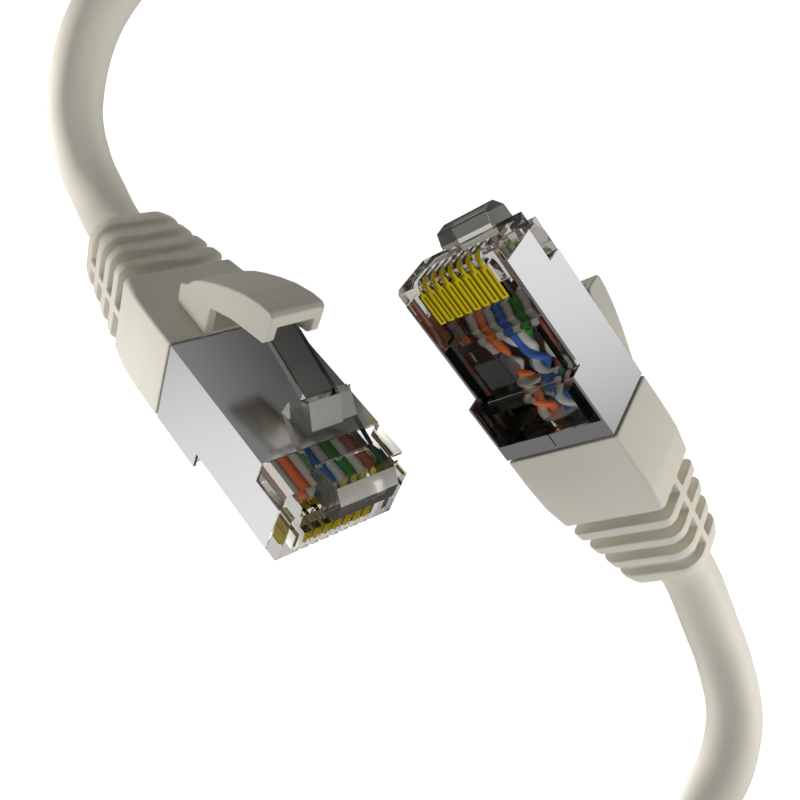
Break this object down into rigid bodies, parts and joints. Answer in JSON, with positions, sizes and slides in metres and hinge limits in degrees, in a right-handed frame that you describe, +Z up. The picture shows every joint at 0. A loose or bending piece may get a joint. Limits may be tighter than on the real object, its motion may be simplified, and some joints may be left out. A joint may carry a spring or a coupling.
{
  "type": "ethernet patch cable",
  "caption": "shielded 8P8C network patch cable, with a clear plug, metal shield, latch and snag-free strain-relief boot on each end of one round cord",
  "frame": {"origin": "the middle of the box that holds the two plugs, without the free cord", "axes": "+Z up, square to the surface that the cord lies on; +X to the right and +Y away as the cable is seen from above"},
  "size_m": [0.1203, 0.1201, 0.0277],
  "materials": {
    "clear_plastic": "clear polycarbonate, polished",
    "nickel_shield": "bright nickel-plated sheet",
    "boot_rubber": "soft moulded PVC, light grey beige, fine matte",
    "cord_jacket": "smooth extruded PVC, light grey beige",
    "gold_contact": "gold plated, polished",
    "wire_white_orange": "white insulation with a orange stripe",
    "wire_orange": "orange insulation",
    "wire_white_green": "white insulation with a green stripe",
    "wire_blue": "blue insulation",
    "wire_white_blue": "white insulation with a blue stripe",
    "wire_green": "green insulation",
    "wire_white_brown": "white insulation with a brown stripe",
    "wire_brown": "brown insulation"
  },
  "bodies": {
    "cable": {"plug_a_housing": "clear_plastic", "plug_a_shield": "nickel_shield", "plug_a_boot": "boot_rubber", "plug_a_load_bar": "clear_plastic", "plug_a_strain_clamp": "clear_plastic", "plug_a_jacket_end": "cord_jacket", "plug_a_contact_1": "gold_contact", "plug_a_contact_2": "gold_contact", "plug_a_contact_3": "gold_contact", "plug_a_contact_4": "gold_contact", "plug_a_contact_5": "gold_contact", "plug_a_contact_6": "gold_contact", "plug_a_contact_7": "gold_contact", "plug_a_contact_8": "gold_contact", "plug_a_wire_1": "wire_white_orange", "plug_a_wire_2": "wire_orange", "plug_a_wire_3": "wire_white_green", "plug_a_wire_4": "wire_blue", "plug_a_wire_5": "wire_white_blue", "plug_a_wire_6": "wire_green", "plug_a_wire_7": "wire_white_brown", "plug_a_wire_8": "wire_brown", "plug_b_housing": "clear_plastic", "plug_b_shield": "nickel_shield", "plug_b_boot": "boot_rubber", "plug_b_load_bar": "clear_plastic", "plug_b_strain_clamp": "clear_plastic", "plug_b_jacket_end": "cord_jacket", "plug_b_contact_1": "gold_contact", "plug_b_contact_2": "gold_contact", "plug_b_contact_3": "gold_contact", "plug_b_contact_4": "gold_contact", "plug_b_contact_5": "gold_contact", "plug_b_contact_6": "gold_contact", "plug_b_contact_7": "gold_contact", "plug_b_contact_8": "gold_contact", "plug_b_wire_1": "wire_white_orange", "plug_b_wire_2": "wire_orange", "plug_b_wire_3": "wire_white_green", "plug_b_wire_4": "wire_blue", "plug_b_wire_5": "wire_white_blue", "plug_b_wire_6": "wire_green", "plug_b_wire_7": "wire_white_brown", "plug_b_wire_8": "wire_brown", "cord": "cord_jacket"},
    "plug_a_hood": {"plug_a_hood": "boot_rubber"},
    "plug_a_latch": {"plug_a_latch": "clear_plastic"},
    "plug_b_hood": {"plug_b_hood": "boot_rubber"},
    "plug_b_latch": {"plug_b_latch": "clear_plastic"}
  },
  "joints": [
    {"name": "plug_a_hood_flex", "type": "hinge", "parent": "cable", "child": "plug_a_hood", "pos_m": [-0.01396, 0.00805, 0.00323], "axis": [0.7376, 0.2531, -0.6261], "range_deg": [0, 16], "stiffness_Nm_per_rad": 0.004},
    {"name": "plug_a_latch_flex", "type": "hinge", "parent": "cable", "child": "plug_a_latch", "pos_m": [-0.00458, -0.00483, 0.00908], "axis": [-0.7376, -0.2531, 0.6261], "range_deg": [0, 11.6], "stiffness_Nm_per_rad": 0.004},
    {"name": "plug_b_hood_flex", "type": "hinge", "parent": "cable", "child": "plug_b_hood", "pos_m": [0.01926, 0.002, -0.00707], "axis": [0.6729, 0.238, 0.7004], "range_deg": [0, 16], "stiffness_Nm_per_rad": 0.004},
    {"name": "plug_b_latch_flex", "type": "hinge", "parent": "cable", "child": "plug_b_latch", "pos_m": [0.00829, 0.01303, -0.00028], "axis": [-0.6729, -0.238, -0.7004], "range_deg": [0, 11.6], "stiffness_Nm_per_rad": 0.004}
  ],
  "couplings": [
    {"joint": "plug_a_latch_flex", "follows": "plug_a_hood_flex", "ratio": 0.72},
    {"joint": "plug_b_latch_flex", "follows": "plug_b_hood_flex", "ratio": 0.72}
  ]
}
